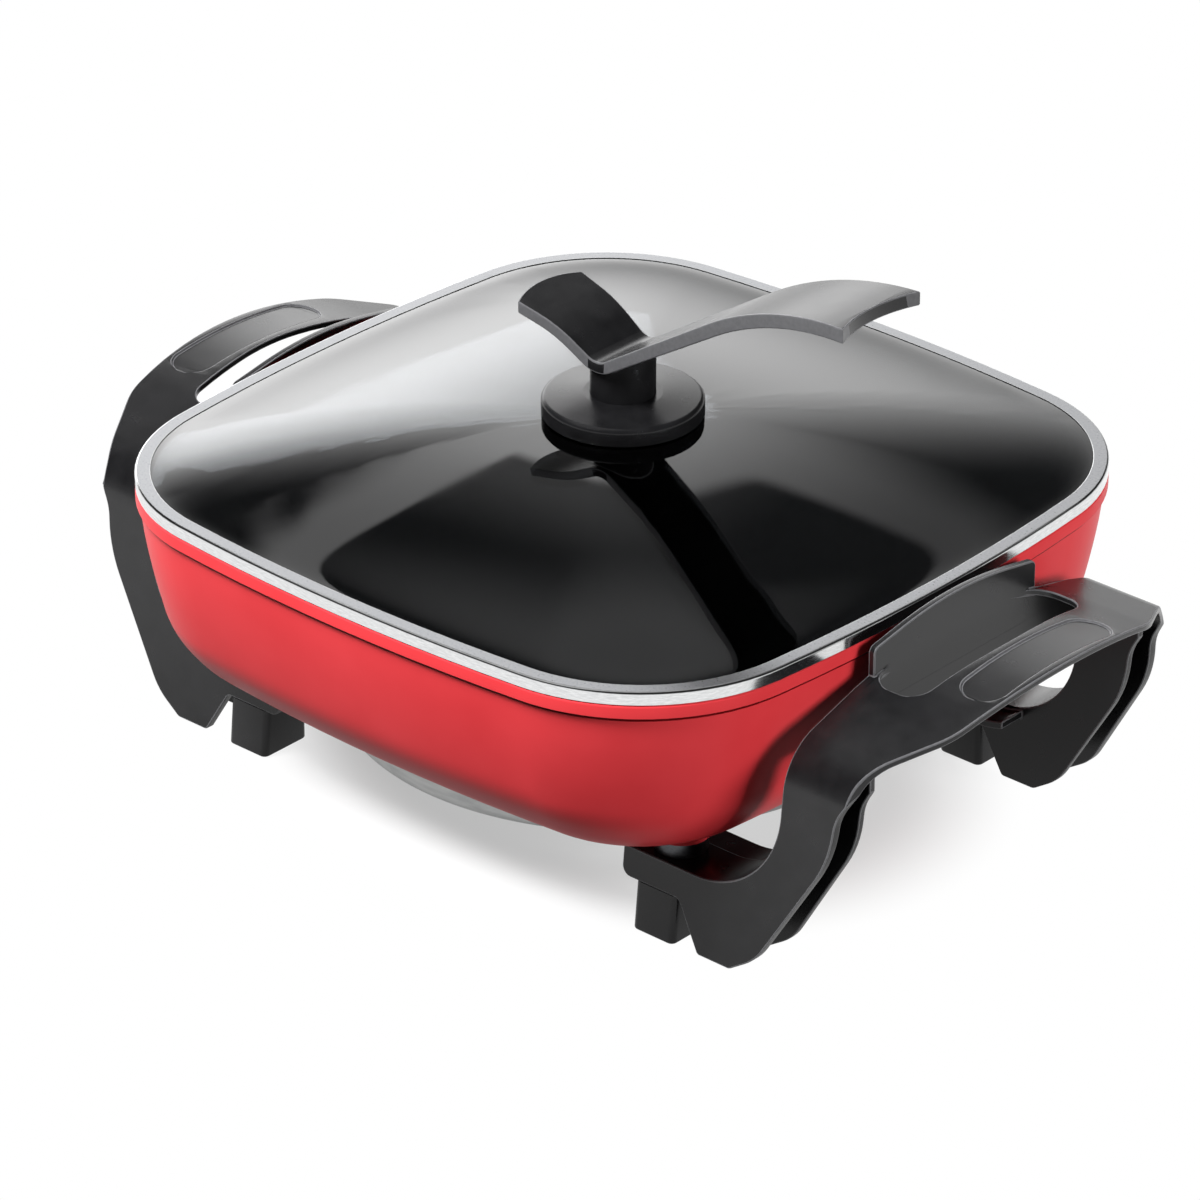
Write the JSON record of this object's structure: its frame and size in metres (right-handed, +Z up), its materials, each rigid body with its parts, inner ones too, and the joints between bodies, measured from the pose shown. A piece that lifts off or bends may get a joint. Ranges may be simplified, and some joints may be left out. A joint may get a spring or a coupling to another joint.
{
  "type": "electric hot pot",
  "caption": "Square electric hot pot: cast pan on moulded handles that are also its legs, domed glass lid that lifts off by a wing-shaped knob, and a pin inlet for a plug-in control.",
  "frame": {"origin": "on the table, under the middle of the pan", "axes": "+X towards the right handle, +Y away from the front side, +Z up; the inlet is under the left handle"},
  "size_m": [0.426, 0.312, 0.2252],
  "materials": {
    "red_coat": "satin red coat on cast aluminium, black non-stick inside",
    "phenolic": "satin moulded phenolic",
    "tinted_glass": "dark tinted toughened glass",
    "bright_steel": "polished stainless steel",
    "cover_sheet": "plain aluminised sheet",
    "zinc_steel": "zinc-plated steel",
    "aluminium": "as cast",
    "sheath": "oxidised heater sheath",
    "nickel": "nickel-plated brass",
    "ceramic": "opaque ceramic",
    "silicone": "silicone",
    "brass": "turned brass"
  },
  "bodies": {
    "base": {"pan": "red_coat", "heat_plate": "aluminium", "heating_element": "sheath", "heater_nut": "zinc_steel", "bottom_cover": "cover_sheet", "cover_screws": "zinc_steel", "pin_guard": "cover_sheet", "guard_screws": "zinc_steel", "terminal_pins": "nickel", "pin_insulators": "ceramic", "probe_sleeve": "nickel", "handle_right": "phenolic", "handle_left": "phenolic", "feet": "phenolic", "spacers": "zinc_steel", "handle_screws": "zinc_steel"},
    "lid": {"lid_glass": "tinted_glass", "lid_rim": "bright_steel", "knob_wing": "phenolic", "knob_collar": "phenolic", "knob_gasket": "silicone", "inner_gasket": "silicone", "knob_washer": "bright_steel", "knob_screw": "bright_steel", "knob_insert": "brass"}
  },
  "joints": [
    {"name": "lid_lift", "type": "slide", "parent": "base", "child": "lid", "axis": [0, 0, 1], "range_m": [0, 0.15]}
  ]
}
